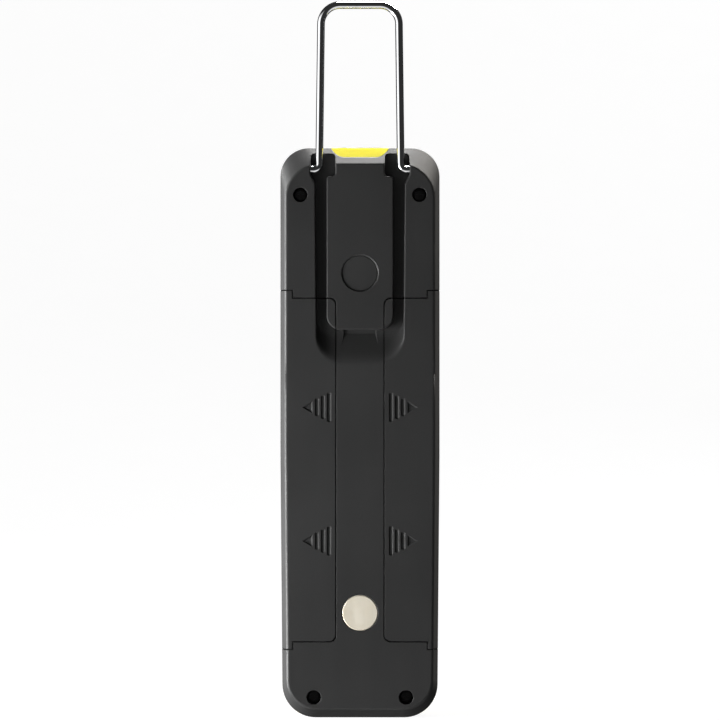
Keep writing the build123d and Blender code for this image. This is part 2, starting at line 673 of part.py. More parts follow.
def grip_marks(side):
    """Grooves and an arrowhead that point the way the door slides."""
    with BuildPart(mode=Mode.PRIVATE) as made:
        for z in GRIP_HEIGHTS:
            with BuildSketch(facing_back(BACK)):
                for x, length in zip(GROOVE_X, GROOVE_LENGTHS):
                    with Locations((side * x, z)):
                        RectangleRounded(GROOVE_WIDTH, length, GROOVE_END_R)
                with BuildLine():
                    base, tip = side * ARROW_BASE_X, side * ARROW_TIP_X
                    half = ARROW_HEIGHT / 2
                    Polyline((base, z - half), (base, z + half), (tip, z), close=True)
                make_face()
            extrude(amount=-GROOVE_DEPTH, taper=GROOVE_TAPER)
    return made.part


def battery_door(side):
    """One L-shaped door: back skin, side wall, its piece of the hook recess, grip marks and tongues."""
    solid = casing(DOOR_SILL_Y - GAP)
    near, far = sorted((0, side * BEYOND))
    with BuildPart(mode=Mode.PRIVATE) as door:
        add(solid)
        add(hollow(DOOR_SILL_Y), mode=Mode.SUBTRACT)
        add(trough)
        add(solid, mode=Mode.INTERSECT)
        add(door_plan(side, BACK - THROUGH, DOOR_SILL_Y, -GAP / 2), mode=Mode.INTERSECT)
        # behind the skin the ears are only as thick as the side wall, to pass the shell's seats
        for low, high in ((EAR_BOTTOM - 1, DOOR_BOTTOM + GAP / 2), (DOOR_TOP - GAP / 2, EAR_TOP + 1)):
            corner = (0, BACK + SKIN - SLIP, low)
            add(mirrored_block(corner, (BAY_OUT + 0.25, FRONT, high)), mode=Mode.SUBTRACT)
        add(recess, mode=Mode.SUBTRACT)
        add(door_tongues())
        add(grip_marks(side), mode=Mode.SUBTRACT)
        add(block((near, -BEYOND, 0), (far, BEYOND, HEIGHT)), mode=Mode.INTERSECT)
    return door.part


with BuildPart() as left_battery_door:
    add(battery_door(LEFT))
save(left_battery_door, "left_battery_door")

with BuildPart() as right_battery_door:
    add(battery_door(RIGHT))
save(right_battery_door, "right_battery_door")

# ---------------------------------------------------------------- wire hook
with BuildPart() as hanging_hook:
    with BuildLine(facing_back(PIVOT_Y)):
        path = FilletPolyline(
            (-PIN_END_X, PIVOT_Z),
            (-LEG_X, PIVOT_Z),
            (-BAR_LEG_X, PIVOT_Z + HOOK_REACH),
            (BAR_LEG_X, PIVOT_Z + HOOK_REACH),
            (LEG_X, PIVOT_Z),
            (PIN_END_X, PIVOT_Z),
            radius=[PIN_BEND_R, BAR_BEND_R, BAR_BEND_R, PIN_BEND_R],
        )
    with BuildSketch(Plane(origin=path @ 0, z_dir=path % 0)):
        Circle(WIRE_R)
    sweep()
    for end in (0, -1):
        fillet(hanging_hook.edges().filter_by(GeomType.CIRCLE).group_by(Axis.X)[end], PIN_CHAMFER)
save(hanging_hook, "hanging_hook")


# ---------------------------------------------------------------- magnets
def disc(z, y_start, thickness, radius):
    """A flat disc on the centre line with softened rims."""
    with BuildPart(mode=Mode.PRIVATE) as made:
        add(rods([(0, z)], y_start, y_start + thickness, radius))
        chamfer(made.edges().filter_by(GeomType.CIRCLE), MAGNET_CHAMFER)
    return made.part


with BuildPart() as lower_magnet:
    add(disc(LOWER_MAGNET_Z, BACK, MAGNET_THICKNESS, MAGNET_R))
save(lower_magnet, "lower_magnet")

with BuildPart() as upper_magnet:
    add(disc(UPPER_MAGNET_Z, UPPER_MAGNET_BACK, MAGNET_THICKNESS, UPPER_MAGNET_R))
save(upper_magnet, "upper_magnet")

with BuildPart() as upper_magnet_cap:
    add(rods([(0, UPPER_MAGNET_Z)], CAP_BACK, CAP_BACK + CAP_THICKNESS, CAP_R))
    chamfer(upper_magnet_cap.edges().filter_by(GeomType.CIRCLE), SLIP)
save(upper_magnet_cap, "upper_magnet_cap")


# ---------------------------------------------------------------- screws
def screws(places, seat_y, head_r, head, shank_r, length):
    """Pan-head screws driven towards +Y, with a cross recess and a blunt tip."""
    with BuildPart(mode=Mode.PRIVATE) as one:
        add(rods([(0, 0)], -head, 0, head_r))
        fillet(one.edges().filter_by(GeomType.CIRCLE).sort_by(Axis.Y)[0], head * 0.4)
        add(rods([(0, 0)], 0, length, shank_r))
        chamfer(one.edges().filter_by(GeomType.CIRCLE).sort_by(Axis.Y)[-1], shank_r * 0.4)
        with BuildSketch(facing_back(-head)):
            Rectangle(head_r * 1.2, head_r * 0.3)
            Rectangle(head_r * 0.3, head_r * 1.2)
        extrude(amount=-head * 0.6, mode=Mode.SUBTRACT)
    with BuildPart(mode=Mode.PRIVATE) as group:
        with Locations(*[(x, seat_y, z) for x, z in places]):
            add(one.part)
    return group.part


def small_screws(places):
    """The short screws that hold the boards."""
    return screws(places, BOARD_Y, SMALL_HEAD_R, SMALL_HEAD, SMALL_SCREW_R, SMALL_LENGTH)


with BuildPart() as case_screws:
    add(screws(CASE_SCREWS, SCREW_SEAT_Y, SCREW_HEAD_R, SCREW_HEAD, SCREW_R, SCREW_LENGTH))
save(case_screws, "case_screws")

with BuildPart() as lamp_board_screws:
    add(small_screws(BOARD_SCREWS))
save(lamp_board_screws, "lamp_board_screws")

with BuildPart() as control_board_screws:
    add(small_screws(CONTROL_SCREWS))
save(control_board_screws, "control_board_screws")


# ---------------------------------------------------------------- front bezel
def spigot():
    """The low wall that centres the bezel in the rear shell."""
    start = PARTING - SPIGOT_HEIGHT
    height = SPIGOT_HEIGHT + OVERLAP
    with BuildPart(mode=Mode.PRIVATE) as wall:
        extrude(inner_outline(start, WALL + SLIP), amount=-height)
        extrude(inner_outline(start, WALL + SLIP + SPIGOT_WALL), amount=-height, mode=Mode.SUBTRACT)
    return wall.part


with BuildPart() as front_bezel:
    extrude(silhouette(PARTING), amount=PARTING - FRONT)
    fillet(front_bezel.faces().sort_by(Axis.Y)[-1].edges(), BEZEL_EDGE_R)
    extrude(inner_outline(PARTING, WALL), amount=PARTING - LIP_Y, mode=Mode.SUBTRACT)
    add(spigot())
    # lamp window and button holes
    window = rounded_slab(WINDOW, WINDOW_R, PARTING, FRONT + THROUGH, LAMP_MIDDLE)
    add(window, mode=Mode.SUBTRACT)
    for place in BUTTONS:
        hole = rounded_slab(grown(BUTTON_SIZE, 0.15), BUTTON_R, PARTING, FRONT + THROUGH, place)
        add(hole, mode=Mode.SUBTRACT)
    # screw posts
    add(rods(CASE_SCREWS, SCREW_SEAT_Y + SCREW_SEAT + SLIP, LIP_Y + OVERLAP, POST_R))
    add(rods(BOARD_SCREWS + CONTROL_SCREWS, BOARD_FRONT, LIP_Y + OVERLAP, SMALL_POST_R))
    screw_hole_end = SCREW_SEAT_Y + SCREW_LENGTH + 2.5 * HOLE_SPARE
    add(rods(CASE_SCREWS, SCREW_SEAT_Y, screw_hole_end, SCREW_R + TOUCH), mode=Mode.SUBTRACT)
    small_screws = BOARD_SCREWS + CONTROL_SCREWS
    small_hole_end = BOARD_Y + SMALL_LENGTH + HOLE_SPARE
    add(rods(small_screws, BOARD_Y, small_hole_end, SMALL_SCREW_R + TOUCH), mode=Mode.SUBTRACT)
save(front_bezel, "front_bezel")

# ---------------------------------------------------------------- flood lamp
with BuildPart() as flood_lens:
    add(rounded_slab(grown(WINDOW, FLANGE), WINDOW_R + FLANGE, FLANGE_BACK, FLANGE_FRONT, LAMP_MIDDLE))
    add(rounded_slab(grown(WINDOW, -0.15), WINDOW_R, FLANGE_FRONT - 0.2, FRONT + LENS_CROWN, LAMP_MIDDLE))
    fillet(flood_lens.faces().sort_by(Axis.Y)[-1].edges(), LENS_CROWN)
save(flood_lens, "flood_lens")

with BuildPart() as lens_gasket:
    add(rounded_slab(grown(WINDOW, FLANGE - 0.1), WINDOW_R + FLANGE, FLANGE_FRONT, LIP_Y, LAMP_MIDDLE))
    middle_hole = rounded_slab(grown(WINDOW, 0.3), WINDOW_R, FLANGE_FRONT - 1, LIP_Y + 1, LAMP_MIDDLE)
    add(middle_hole, mode=Mode.SUBTRACT)
save(lens_gasket, "lens_gasket")

with BuildPart() as flood_reflector:
    plate = grown(WINDOW, REFLECTOR_MARGIN)
    add(rounded_slab(plate, WINDOW_R + 1, REFLECTOR_FRONT - REFLECTOR_PLATE, REFLECTOR_FRONT, LAMP_MIDDLE))
    cup_foot_r = LED_R + PLAY
    add(cones(LED_PLACES, REFLECTOR_BACK, REFLECTOR_FRONT - 0.2, cup_foot_r + 0.7, CUP_R + CUP_WALL))
    cups = cones(LED_PLACES, REFLECTOR_BACK - 0.01, REFLECTOR_FRONT + 0.01, cup_foot_r, CUP_R)
    add(cups, mode=Mode.SUBTRACT)
save(flood_reflector, "flood_reflector")

with BuildPart() as lamp_board:
    board_size = (LAMP_BOARD_WIDTH, WINDOW[1] + 2 * LAMP_BOARD_MARGIN)
    add(rounded_slab(board_size, LAMP_BOARD_R, BOARD_Y, BOARD_FRONT, LAMP_MIDDLE))
    add(rods(BOARD_SCREWS, BOARD_Y - 1, BOARD_FRONT + 1, BOARD_HOLE_R), mode=Mode.SUBTRACT)
save(lamp_board, "lamp_board")


def led():
    """A straw-hat LED along +Z on the origin: a round foot and a low dome."""
    with BuildPart(mode=Mode.PRIVATE) as made:
        Cylinder(LED_R - 0.2, LED_HEIGHT, align=(Align.CENTER, Align.CENTER, Align.MIN))
        fillet(made.edges().filter_by(GeomType.CIRCLE).sort_by(Axis.Z)[-1], LED_DOME_R)
        Cylinder(LED_R, LED_FOOT, align=(Align.CENTER, Align.CENTER, Align.MIN))
    return made.part


with BuildPart() as flood_leds:
    with Locations(*[(x, BOARD_FRONT, z) for x, z in LED_PLACES]):
        add(led().rotate(Axis.X, -90))
save(flood_leds, "flood_leds")

# ---------------------------------------------------------------- switches and buttons
with BuildPart() as control_board:
    add(rounded_slab(CONTROL_BOARD_SIZE, CONTROL_BOARD_R, BOARD_Y, BOARD_FRONT, (0, BUTTON_Z)))
    add(rods(CONTROL_SCREWS, BOARD_Y - 1, BOARD_FRONT + 1, BOARD_HOLE_R), mode=Mode.SUBTRACT)
save(control_board, "control_board")

with BuildPart() as switch_housings:
    for place in BUTTONS:
        add(rounded_slab((SWITCH_SIZE, SWITCH_SIZE), 0.5, BOARD_FRONT, SWITCH_FRONT, place))
    add(rods(BUTTONS, SWITCH_FRONT - SWITCH_BORE, SWITCH_FRONT + 1, SWITCH_BORE_R), mode=Mode.SUBTRACT)
save(switch_housings, "switch_housings")


def button(place):
    """Rubber push-button pad: proud cap, flange behind the bezel, and a stem down to its plunger."""
    flange_back = LIP_Y - SLIP - BUTTON_FLANGE_THICKNESS
    flange_size = grown(BUTTON_SIZE, BUTTON_FLANGE)
    with BuildPart(mode=Mode.PRIVATE) as made:
        add(rounded_slab(grown(BUTTON_SIZE, -SLIP), BUTTON_R, LIP_Y - 1, FRONT + BUTTON_PROUD, place))
        fillet(made.faces().sort_by(Axis.Y)[-1].edges(), BUTTON_EDGE_R)
        add(rounded_slab(flange_size, BUTTON_R + BUTTON_FLANGE, flange_back, LIP_Y - SLIP, place))
        add(rods([place], PLUNGER_TIP, LIP_Y - 1, BUTTON_STEM_R))
    return made.part


with BuildPart() as flood_button:
    add(button(BUTTONS[0]))
    with BuildSketch(facing_back(FRONT + BUTTON_PROUD)):
        with Locations(BUTTONS[0]):
            Circle(RING_R)
            Circle(RING_HOLE_R, mode=Mode.SUBTRACT)
    extrude(amount=-EMBLEM_HEIGHT)
save(flood_button, "flood_button")

with BuildPart() as torch_button:
    add(button(BUTTONS[1]))
    with BuildSketch(facing_back(FRONT + BUTTON_PROUD)):
        with Locations(BUTTONS[1]):
            SlotOverall(BAR_LENGTH, BAR_WIDTH, rotation=90)
    extrude(amount=-EMBLEM_HEIGHT)
save(torch_button, "torch_button")

with BuildPart() as flood_plunger:
    add(rods([BUTTONS[0]], SWITCH_FRONT - PLUNGER_SUNK, PLUNGER_TIP, PLUNGER_R))
save(flood_plunger, "flood_plunger")

with BuildPart() as torch_plunger:
    add(rods([BUTTONS[1]], SWITCH_FRONT - PLUNGER_SUNK, PLUNGER_TIP, PLUNGER_R))
save(torch_plunger, "torch_plunger")

# ---------------------------------------------------------------- torch in the top end
with BuildPart() as torch_head:
    add(torch_opening(0.0))
    add(case_to_parting, mode=Mode.INTERSECT)
    # flange under the shell's top wall, and two legs that carry the board
    flange_low = (-TORCH_FLANGE_X, TORCH_FLANGE_BACK, TORCH_FOOT_Z)
    add(block(flange_low, (TORCH_FLANGE_X, TORCH_FLANGE_FRONT, HEIGHT - WALL - SLIP)))
    leg_low = (TORCH_LEG_IN, TORCH_LEG_BACK, TORCH_BOARD_Z - 1.2)
    add(mirrored_block(leg_low, (TORCH_LEG_OUT, TORCH_LEG_FRONT, TORCH_FOOT_Z + 0.2)))
    # seat for the lens, bore for the reflector, and slots for the board's edges
    ledge = TORCH_LENS_Z - TOUCH
    seat = upright_slab(grown(TORCH_LENS_SIZE, SLIP), TORCH_LENS_R + SLIP, ledge, HEIGHT + THROUGH)
    add(seat, mode=Mode.SUBTRACT)
    bore = upright_slab(grown(TORCH_CUPS_SIZE, SLIP), TORCH_CUPS_R + SLIP, TORCH_BOARD_TOP, HEIGHT)
    add(bore, mode=Mode.SUBTRACT)
    slot_low = (TORCH_LEG_IN - 0.2, TORCH_LEG_BACK - 1, TORCH_BOARD_Z - TOUCH)
    slot_high = (TORCH_BOARD_SIZE[0] / 2 + 0.2, TORCH_LEG_FRONT + 1, TORCH_BOARD_TOP + TOUCH)
    add(mirrored_block(slot_low, slot_high), mode=Mode.SUBTRACT)
save(torch_head, "torch_head")

with BuildPart() as torch_lens:
    add(upright_slab(TORCH_LENS_SIZE, TORCH_LENS_R, TORCH_LENS_Z, HEIGHT + TORCH_LENS_PROUD))
    fillet(torch_lens.faces().sort_by(Axis.Z)[-1].edges(), 0.5)
save(torch_lens, "torch_lens")

with BuildPart() as torch_reflector:
    cup_foot, cup_mouth = TORCH_BOARD_TOP + TOUCH, TORCH_LENS_Z - SLIP
    add(upright_slab(TORCH_CUPS_SIZE, TORCH_CUPS_R, cup_foot, cup_mouth))
    for place in TORCH_LEDS:
        ends = []
        for z, radius in ((cup_foot - 0.01, LED_R + 0.2), (cup_mouth + 0.01, TORCH_CUP_MOUTH_R)):
            with BuildSketch(Plane.XY.offset(z), mode=Mode.PRIVATE) as end:
                with Locations(place):
                    Circle(radius)
            ends.append(end.sketch)
        loft(ends, mode=Mode.SUBTRACT)
save(torch_reflector, "torch_reflector")

with BuildPart() as torch_board:
    with BuildSketch(Plane.XY.offset(TORCH_BOARD_Z)):
        with Locations((0, TORCH_Y + 0.4)):
            Rectangle(*TORCH_BOARD_SIZE)
    extrude(amount=BOARD_THICKNESS)
save(torch_board, "torch_board")

with BuildPart() as torch_leds:
    with Locations(*[(x, y, TORCH_BOARD_TOP) for x, y in TORCH_LEDS]):
        add(led())
save(torch_leds, "torch_leds")


# ---------------------------------------------------------------- batteries and their contacts
def cell(side, z_low, nub_up):
    """One AA cell, standing along Z, with its positive nub at the top or the bottom."""
    body_low = z_low if nub_up else z_low + NUB_LENGTH
    body_high = body_low + CELL_LENGTH - NUB_LENGTH
    nub_low, nub_high = (body_high - 0.1, z_low + CELL_LENGTH) if nub_up else (z_low, body_low + 0.1)
    with BuildPart(mode=Mode.PRIVATE) as made:
        with BuildSketch(Plane.XY.offset(body_low)):
            with Locations((side * CELL_X, CELL_Y)):
                Circle(CELL_R)
        extrude(amount=body_high - body_low)
        fillet(made.edges().filter_by(GeomType.CIRCLE), CELL_EDGE_R)
        with BuildSketch(Plane.XY.offset(nub_low)):
            with Locations((side * CELL_X, CELL_Y)):
                Circle(NUB_R)
        extrude(amount=nub_high - nub_low)
    return made.part


left_start = CELLS_LOW_Z + SPRING_HEIGHT
right_start = CELLS_LOW_Z + SLIP

with BuildPart() as left_lower_cell:
    add(cell(LEFT, left_start, True))
save(left_lower_cell, "left_lower_cell")

with BuildPart() as left_upper_cell:
    add(cell(LEFT, left_start + CELL_LENGTH + CELL_JOIN, True))
save(left_upper_cell, "left_upper_cell")

with BuildPart() as right_lower_cell:
    add(cell(RIGHT, right_start, False))
save(right_lower_cell, "right_lower_cell")

with BuildPart() as right_upper_cell:
    add(cell(RIGHT, right_start + CELL_LENGTH + CELL_JOIN, False))
save(right_upper_cell, "right_upper_cell")


def contact_spring(side, z_low):
    """Coil that presses on a cell's flat end."""
    rise = SPRING_HEIGHT - 2 * SPRING_WIRE_R
    with BuildPart(mode=Mode.PRIVATE) as made:
        with BuildLine() as coil:
            middle = (side * CELL_X, CELL_Y, z_low + SPRING_WIRE_R)
            Helix(rise / SPRING_TURNS, rise, SPRING_R, center=middle)
        with BuildSketch(Plane(origin=coil.line @ 0, z_dir=coil.line % 0)):
            Circle(SPRING_WIRE_R)
        sweep(is_frenet=True)
    return made.part


with BuildPart() as left_spring:
    add(contact_spring(LEFT, CONTACT_LOW_Z + CONTACT_THICKNESS + TOUCH))
save(left_spring, "left_spring")

with BuildPart() as right_spring:
    add(contact_spring(RIGHT, right_start + 2 * CELL_LENGTH + 2 * CELL_JOIN))
save(right_spring, "right_spring")


def top_contact(side):
    """Plate under the bay's top rib, with a tab that passes through the rib for its lead."""
    x, low_z = side * CELL_X, BAY_TOP - CONTACT_THICKNESS
    plate_low = (x - CONTACT_HALF_WIDTH, CONTACT_BACK, low_z)
    plate_high = (x + CONTACT_HALF_WIDTH, CONTACT_FRONT, BAY_TOP - TOUCH)
    with BuildPart(mode=Mode.PRIVATE) as made:
        add(block(plate_low, plate_high))
        add(block((x - TAB_HALF_WIDTH, TAB_BACK, low_z), (x + TAB_HALF_WIDTH, TAB_FRONT, BAY_TOP + TAB_RISE)))
    return made.part


with BuildPart() as positive_contact:
    add(top_contact(LEFT))
save(positive_contact, "positive_contact")

with BuildPart() as negative_contact:
    add(top_contact(RIGHT))
save(negative_contact, "negative_contact")

with BuildPart() as bridge_contact:
    bridge_end = CELL_X + CONTACT_HALF_WIDTH
    bridge_top = CONTACT_LOW_Z + CONTACT_THICKNESS
    add(block((-bridge_end, BRIDGE_BACK, CONTACT_LOW_Z), (bridge_end, BRIDGE_FRONT, bridge_top)))
save(bridge_contact, "bridge_contact")


# ---------------------------------------------------------------- leads
def lead(points, bend, wire_r):
    """An insulated wire along straight runs with rounded bends."""
    with BuildPart(mode=Mode.PRIVATE) as made:
        with BuildLine() as run:
            FilletPolyline(*points, radius=bend)
        with BuildSketch(Plane(origin=run.line @ 0, z_dir=run.line % 0)):
            Circle(wire_r)
        sweep()
    return made.part


def battery_lead(side):
    """From a top contact's tab, through the bay's window, to the back of the lamp board."""
    x, end = side * CELL_X, side * LEAD_END_X
    start = (x, LEAD_Y, BAY_TOP + BAY_RIB + 0.6)
    stops = [start, (x, LEAD_Y, LEAD_Z), (end, LEAD_Y, LEAD_Z), (end, BOARD_Y - TOUCH, LEAD_Z)]
    return lead(stops, LEAD_BEND, LEAD_R)


with BuildPart() as positive_wire:
    add(battery_lead(LEFT))
save(positive_wire, "positive_wire")

with BuildPart() as negative_wire:
    add(battery_lead(RIGHT))
save(negative_wire, "negative_wire")

with BuildPart() as torch_wires:
    for x in (-2.5, 2.5):
        # off the lamp board, up behind it, over to the torch's board and in from below
        start_z, turn_y, over_z, rise_y = 180.0, BOARD_Y - 2.5, 194.5, TORCH_Y + 3.2
        stops = [(x, BOARD_Y - TOUCH, start_z), (x, turn_y, start_z), (x, turn_y, over_z)]
        stops += [(x, rise_y, over_z), (x, rise_y, TORCH_BOARD_Z - TOUCH)]
        add(lead(stops, THIN_LEAD_BEND, THIN_LEAD_R))
save(torch_wires, "torch_wires")

with BuildPart() as board_ribbon:
    ribbon_front = BOARD_Y - TOUCH
    ribbon_low = (-RIBBON_HALF_WIDTH, ribbon_front - RIBBON_THICKNESS, RIBBON_BOTTOM)
    add(block(ribbon_low, (RIBBON_HALF_WIDTH, ribbon_front, RIBBON_TOP)))
save(board_ribbon, "board_ribbon")
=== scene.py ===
"""Looks for the battery work light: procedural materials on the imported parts, a pale stage, studio light."""

import math

import bpy
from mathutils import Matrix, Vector


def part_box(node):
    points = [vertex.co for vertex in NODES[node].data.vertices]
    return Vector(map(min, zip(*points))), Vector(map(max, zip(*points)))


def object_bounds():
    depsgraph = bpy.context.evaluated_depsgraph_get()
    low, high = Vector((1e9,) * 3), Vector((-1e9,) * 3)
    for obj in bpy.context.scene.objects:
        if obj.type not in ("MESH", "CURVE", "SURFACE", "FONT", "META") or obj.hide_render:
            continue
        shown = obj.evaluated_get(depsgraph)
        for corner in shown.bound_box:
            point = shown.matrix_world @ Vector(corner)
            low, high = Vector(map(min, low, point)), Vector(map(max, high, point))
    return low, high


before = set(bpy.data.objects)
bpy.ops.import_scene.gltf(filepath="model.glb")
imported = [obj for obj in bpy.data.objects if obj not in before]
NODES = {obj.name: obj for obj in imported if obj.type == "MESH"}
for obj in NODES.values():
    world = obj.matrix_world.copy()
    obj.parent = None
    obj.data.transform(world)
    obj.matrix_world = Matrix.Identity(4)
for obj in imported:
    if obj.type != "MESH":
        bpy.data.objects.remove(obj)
CAD_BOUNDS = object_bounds()

MM = 0.001
GRAIN_SCALE = 1.0 / (0.45 * MM)  # size of the moulded texture's pits
LEFT_RADIANCE = 1.4  # brightness of the studio's white wall on the left
FLOOR_RADIANCE = 0.9  # of its white floor
SHADE_RADIANCE = 0.03  # and of its dark side


# ---------------------------------------------------------------- node helpers
class Shader:
    """A material's node tree, with short calls that add a node and wire its inputs."""

    def __init__(self, name):
        self.material = bpy.data.materials.new(name)
        self.material.use_nodes = True
        self.tree = self.material.node_tree
        self.tree.nodes.clear()
        self.output = self.tree.nodes.new("ShaderNodeOutputMaterial")

    def node(self, kind, inputs=None, **settings):
        made = self.tree.nodes.new(kind)
        for key, value in settings.items():
            setattr(made, key, value)
        for key, value in (inputs or {}).items():
            self.feed(made.inputs[key], value)
        return made

    def feed(self, socket, value):
        if isinstance(value, bpy.types.NodeSocket):
            self.tree.links.new(value, socket)
        else:
            socket.default_value = value

    def math(self, operation, a, b=0.0, clamp=False):
        made = self.node("ShaderNodeMath", {0: a, 1: b}, operation=operation, use_clamp=clamp)
        return made.outputs[0]

    def mix(self, factor, a, b):
        """Blend of two colours."""
        made = self.node("ShaderNodeMix", {"Factor": factor}, data_type="RGBA")
        self.feed(made.inputs[6], a)
        self.feed(made.inputs[7], b)
        return made.outputs[2]

    def remap(self, value, low, high, to_low, to_high):
        inputs = {"Value": value, "From Min": low, "From Max": high, "To Min": to_low, "To Max": to_high}
        return self.node("ShaderNodeMapRange", inputs, clamp=True).outputs[0]

    def place(self, scale=(1, 1, 1)):
        """Object coordinates, stretched by scale."""
        where = self.node("ShaderNodeTexCoord").outputs["Object"]
        return self.node("ShaderNodeMapping", {"Vector": where, "Scale": scale}).outputs[0]

    def noise(self, scale, detail=2.0, roughness=0.5, stretch=(1, 1, 1)):
        inputs = {"Vector": self.place(stretch), "Scale": scale, "Detail": detail, "Roughness": roughness}
        return self.node("ShaderNodeTexNoise", inputs).outputs["Fac"]

    def bump(self, height, distance, strength=1.0, under=None):
        inputs = {"Height": height, "Distance": distance, "Strength": strength}
        if under is not None:
            inputs["Normal"] = under
        return self.node("ShaderNodeBump", inputs).outputs[0]

    def soft_normal(self, radius):
        """The surface normal with its sharp edges rounded by radius."""
        return self.node("ShaderNodeBevel", {"Radius": radius}, samples=4).outputs[0]

    def edge(self, radius, low=0.02, high=0.35):
        """1 on sharp edges and 0 on flat ground, from how far a rounded normal leans from the true one."""
        true_normal = self.node("ShaderNodeNewGeometry").outputs["Normal"]
        lean = self.node("ShaderNodeVectorMath", {0: self.soft_normal(radius), 1: true_normal},
                         operation="DOT_PRODUCT").outputs["Value"]
        return self.remap(self.math("SUBTRACT", 1.0, lean), low, high, 0.0, 1.0)

    def shelter(self, reach, low=0.10, high=0.50):
        """0 deep inside a recess and 1 on open ground."""
        open_sky = self.node("ShaderNodeAmbientOcclusion", {"Distance": reach}, samples=8).outputs["AO"]
        return self.remap(open_sky, low, high, 0.0, 1.0)

    def surface(self, **inputs):
        named = {key.replace("_", " "): value for key, value in inputs.items()}
        principled = self.node("ShaderNodeBsdfPrincipled", named)
        self.tree.links.new(principled.outputs[0], self.output.inputs["Surface"])
        return self.material


def rgb(red, green, blue):
    """A colour from its 0 to 255 sRGB values."""
    def linear(value):
        value /= 255
        return value / 12.92 if value <= 0.04045 else ((value + 0.055) / 1.055) ** 2.4
    return (linear(red), linear(green), linear(blue), 1.0)


# ---------------------------------------------------------------- materials
def moulded_plastic(name, base, worn, painted_recess_shade, rough, grain, gloss,
                    edge_wear=0.35, haze=0.06, glow_depth=0.0):
    """Injection-moulded plastic: spark-eroded grain, faint handling haze, polished edges and painted shade
    that darkens the colour deep in recesses.
    """
    s = Shader(name)
    pits = s.noise(GRAIN_SCALE, 3.0, 0.6)
    blotches = s.noise(28.0, 4.0, 0.6)
    streaks = s.noise(240.0, 2.0, 0.5, (1.0, 1.0, 0.06))
    wear = s.math("MULTIPLY", s.edge(0.35 * MM), edge_wear)
    wear = s.math("MULTIPLY", wear, s.remap(s.noise(90.0, 3.0), 0.35, 0.65, 0.3, 1.0))
    speckled = s.mix(s.remap(pits, 0.35, 0.7, 0.0, 0.10), base, worn)
    hazed = s.mix(s.remap(blotches, 0.45, 0.75, 0.0, haze), speckled, worn)
    colour = s.mix(wear, hazed, worn)
    roughness = s.remap(blotches, 0.3, 0.7, rough - haze, rough + haze)
    roughness = s.math("ADD", roughness, s.remap(streaks, 0.4, 0.7, 0.0, 0.05))
    roughness = s.math("SUBTRACT", roughness, s.math("MULTIPLY", wear, 0.15))
    grain_normal = s.bump(pits, grain, 0.8, s.soft_normal(0.22 * MM))
    # painted shade: deep in recesses the colour is mixed toward the darker shade colour and reflections are
    # weakened, from ambient occlusion
    open_sky = s.shelter(7.0 * MM)
    colour = s.mix(open_sky, painted_recess_shade, colour)
    specular = s.math("MULTIPLY", s.remap(open_sky, 0.0, 1.0, 0.25, 1.0), gloss)
    return s.surface(Base_Color=colour, Roughness=roughness, Normal=grain_normal, IOR=1.5,
                     Specular_IOR_Level=specular, Subsurface_Weight=0.6 if glow_depth else 0.0,
                     Subsurface_Radius=(1.0, 0.9, 0.3), Subsurface_Scale=max(glow_depth, MM))


def chrome_wire():
    """Bright plated wire with fine drawing lines along it and a few dulled patches."""
    s = Shader("chrome_wire")
    drawn = s.noise(2600.0, 3.0, 0.6, (1.0, 1.0, 0.03))
    spots = s.noise(160.0, 4.0, 0.6)
    dull = s.remap(spots, 0.55, 0.75, 0.0, 1.0)
    colour = s.mix(dull, rgb(233, 234, 236), rgb(205, 205, 204))
    roughness = s.math("ADD", s.remap(drawn, 0.3, 0.7, 0.045, 0.10), s.math("MULTIPLY", dull, 0.08))
    return s.surface(Base_Color=colour, Metallic=1.0, Roughness=roughness,
                     Normal=s.bump(drawn, 0.004 * MM, 0.5))


def nickel(name, colour_low, colour_high, rough, metal):
    """Satin nickel plate, part matt: tiny tumbling marks, a warm cast and duller worn rims."""
    s = Shader(name)
    marks = s.noise(2200.0, 4.0, 0.65)
    cast = s.noise(120.0, 3.0, 0.5)
    scratches = s.noise(1500.0, 2.0, 0.5, (1.0, 1.0, 0.05))
    rim = s.edge(0.3 * MM)
    colour = s.mix(s.remap(cast, 0.35, 0.65, 0.0, 1.0), colour_low, colour_high)
    colour = s.mix(rim, colour, rgb(190, 186, 176))
    roughness = s.math("ADD", s.remap(marks, 0.3, 0.7, rough - 0.05, rough + 0.08),
                       s.remap(scratches, 0.5, 0.8, 0.0, 0.1))
    return s.surface(Base_Color=colour, Metallic=metal, Roughness=roughness,
                     Normal=s.bump(marks, 0.01 * MM, 0.6, s.soft_normal(0.2 * MM)))


def steel(name, colour, worn, rough, metal=1.0):
    """Plain steel with turning marks and painted shade in recesses; oiled black screws are less metallic."""
    s = Shader(name)
    marks = s.noise(1800.0, 3.0, 0.6)
    tint = s.mix(s.remap(marks, 0.3, 0.7, 0.0, 0.4), colour, worn)
    # painted shade: the colour goes to dark grey deep in recesses such as the screw wells, from ambient
    # occlusion
    tint = s.mix(s.shelter(9.0 * MM), rgb(62, 62, 62), tint)
    return s.surface(Base_Color=tint, Metallic=metal,
                     Roughness=s.remap(marks, 0.3, 0.7, rough - 0.06, rough + 0.1),
                     Normal=s.bump(marks, 0.01 * MM, 0.5))


def rubber(name, base):
    """Matt rubber with a fine sandy skin and dust on its edges."""
    s = Shader(name)
    skin = s.noise(3200.0, 3.0, 0.65)
    dust = s.noise(70.0, 4.0, 0.6)
    colour = s.mix(s.remap(dust, 0.5, 0.8, 0.0, 0.25), base, rgb(92, 92, 90))
    colour = s.mix(s.math("MULTIPLY", s.edge(0.4 * MM), 0.25), colour, rgb(110, 110, 108))
    return s.surface(Base_Color=colour, Roughness=s.remap(skin, 0.3, 0.7, 0.62, 0.82),
                     Normal=s.bump(skin, 0.02 * MM, 0.7, s.soft_normal(0.3 * MM)), Sheen_Weight=0.15)


